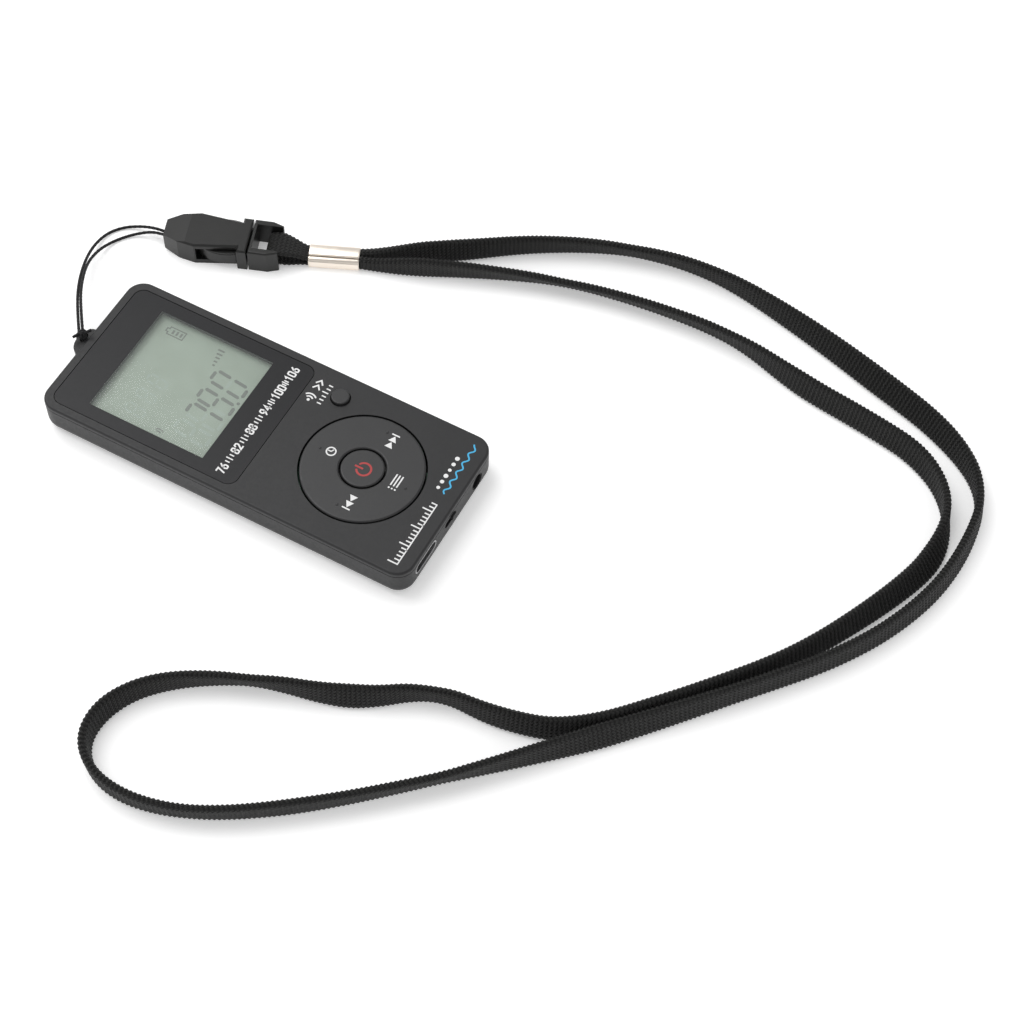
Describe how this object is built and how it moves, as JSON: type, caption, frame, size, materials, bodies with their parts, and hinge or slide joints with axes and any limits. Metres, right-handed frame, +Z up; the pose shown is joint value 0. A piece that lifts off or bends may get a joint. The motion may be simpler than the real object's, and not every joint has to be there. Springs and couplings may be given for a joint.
{
  "type": "pocket radio receiver",
  "caption": "Pocket air-band receiver with a display window, a round four-way key, end sockets and a neck lanyard on a side-release buckle.",
  "frame": {"origin": "centre of the receiver's underside, on the surface that it lies on", "axes": "+X to the receiver's right, +Y along its length towards the lanyard lug, +Z up out of its screen"},
  "size_m": [0.1805, 0.2139, 0.0109],
  "materials": {
    "shell_plastic": "satin, fine grain",
    "lens_surround": "smooth satin print behind clear plastic",
    "clear_window": "clear, smooth",
    "display_glass": "grey-green reflective display",
    "white_plastic": "matt",
    "board": "solder mask",
    "chip": "moulded epoxy",
    "component": "ceramic body",
    "steel": "plain",
    "gold_contact": "plated",
    "ferrite": "sintered",
    "copper_wire": "enamelled",
    "foam": "open cell",
    "battery_wrap": "foil pouch",
    "lead_insulation": "smooth",
    "key_plastic": "satin",
    "key_rubber": "matt",
    "buckle_plastic": "satin moulded",
    "crimp_metal": "bright nickel",
    "strap_fabric": "tubular knit",
    "cord_fabric": "braided"
  },
  "bodies": {
    "radio_body": {"back_shell": "shell_plastic", "front_shell": "shell_plastic", "lens_panel": "lens_surround", "display_window": "clear_window", "display_gasket": "foam", "display_glass": "display_glass", "display_backlight": "white_plastic", "display_holder": "white_plastic", "display_pins": "gold_contact", "main_board": "board", "tuner_chip": "chip", "control_chip": "chip", "audio_chip": "chip", "clock_crystal": "steel", "small_components": "component", "ferrite_rod": "ferrite", "aerial_coil": "copper_wire", "battery_pad": "foam", "battery_cell": "battery_wrap", "battery_plug": "white_plastic", "battery_leads": "lead_insulation", "usb_shell": "steel", "usb_tongue": "chip", "headphone_jack": "chip", "jack_contacts": "gold_contact", "hold_switch_body": "steel", "key_domes": "steel", "case_screws": "steel", "board_screws": "steel", "buckle_female": "buckle_plastic", "cord_strand_outer": "cord_fabric", "cord_strand_inner": "cord_fabric", "cord_hitch": "cord_fabric"},
    "hold_switch": {"hold_switch_knob": "key_plastic"},
    "power_key": {"power_button": "key_plastic"},
    "band_key": {"band_button": "key_plastic"},
    "pad_cradle": {"key_cradle": "key_rubber"},
    "pad": {"four_way_key": "key_plastic"},
    "lanyard_end": {"buckle_male": "buckle_plastic", "strap_end_loop": "strap_fabric", "strap_crimp": "crimp_metal", "lanyard_strap": "strap_fabric"},
    "prong_left": {"buckle_prong_left": "buckle_plastic"},
    "prong_right": {"buckle_prong_right": "buckle_plastic"}
  },
  "joints": [
    {"name": "power_press", "type": "slide", "parent": "radio_body", "child": "power_key", "axis": [0, 0, -1], "range_m": [0, 0.0003], "stiffness_N_per_m": 1500},
    {"name": "band_press", "type": "slide", "parent": "radio_body", "child": "band_key", "axis": [0, 0, -1], "range_m": [0, 0.0004], "stiffness_N_per_m": 1500},
    {"name": "pad_tilt_up_down", "type": "hinge", "parent": "radio_body", "child": "pad_cradle", "pos_m": [0, -0.02484, 0.007], "axis": [1, 0, 0], "range_deg": [-1.2, 1.2], "stiffness_Nm_per_rad": 0.5},
    {"name": "pad_tilt_left_right", "type": "hinge", "parent": "pad_cradle", "child": "pad", "pos_m": [0, -0.02484, 0.007], "axis": [0, 1, 0], "range_deg": [-1.2, 1.2], "stiffness_Nm_per_rad": 0.5},
    {"name": "hold_switch_slide", "type": "slide", "parent": "radio_body", "child": "hold_switch", "axis": [-1, 0, 0], "range_m": [0, 0.0024]},
    {"name": "buckle_release", "type": "slide", "parent": "radio_body", "child": "lanyard_end", "axis": [0.3449, -0.9387, 0], "range_m": [0, 0.014], "deforming": ["buckle_prong_left", "buckle_prong_right"]},
    {"name": "prong_squeeze_left", "type": "hinge", "parent": "lanyard_end", "child": "prong_left", "pos_m": [0.04713, 0.03338, 0.0032], "axis": [0, 0, 1], "range_deg": [0, 6], "stiffness_Nm_per_rad": 0.5},
    {"name": "prong_squeeze_right", "type": "hinge", "parent": "lanyard_end", "child": "prong_right", "pos_m": [0.04216, 0.03155, 0.0032], "axis": [0, 0, 1], "range_deg": [-6, 0], "stiffness_Nm_per_rad": 0.5}
  ]
}
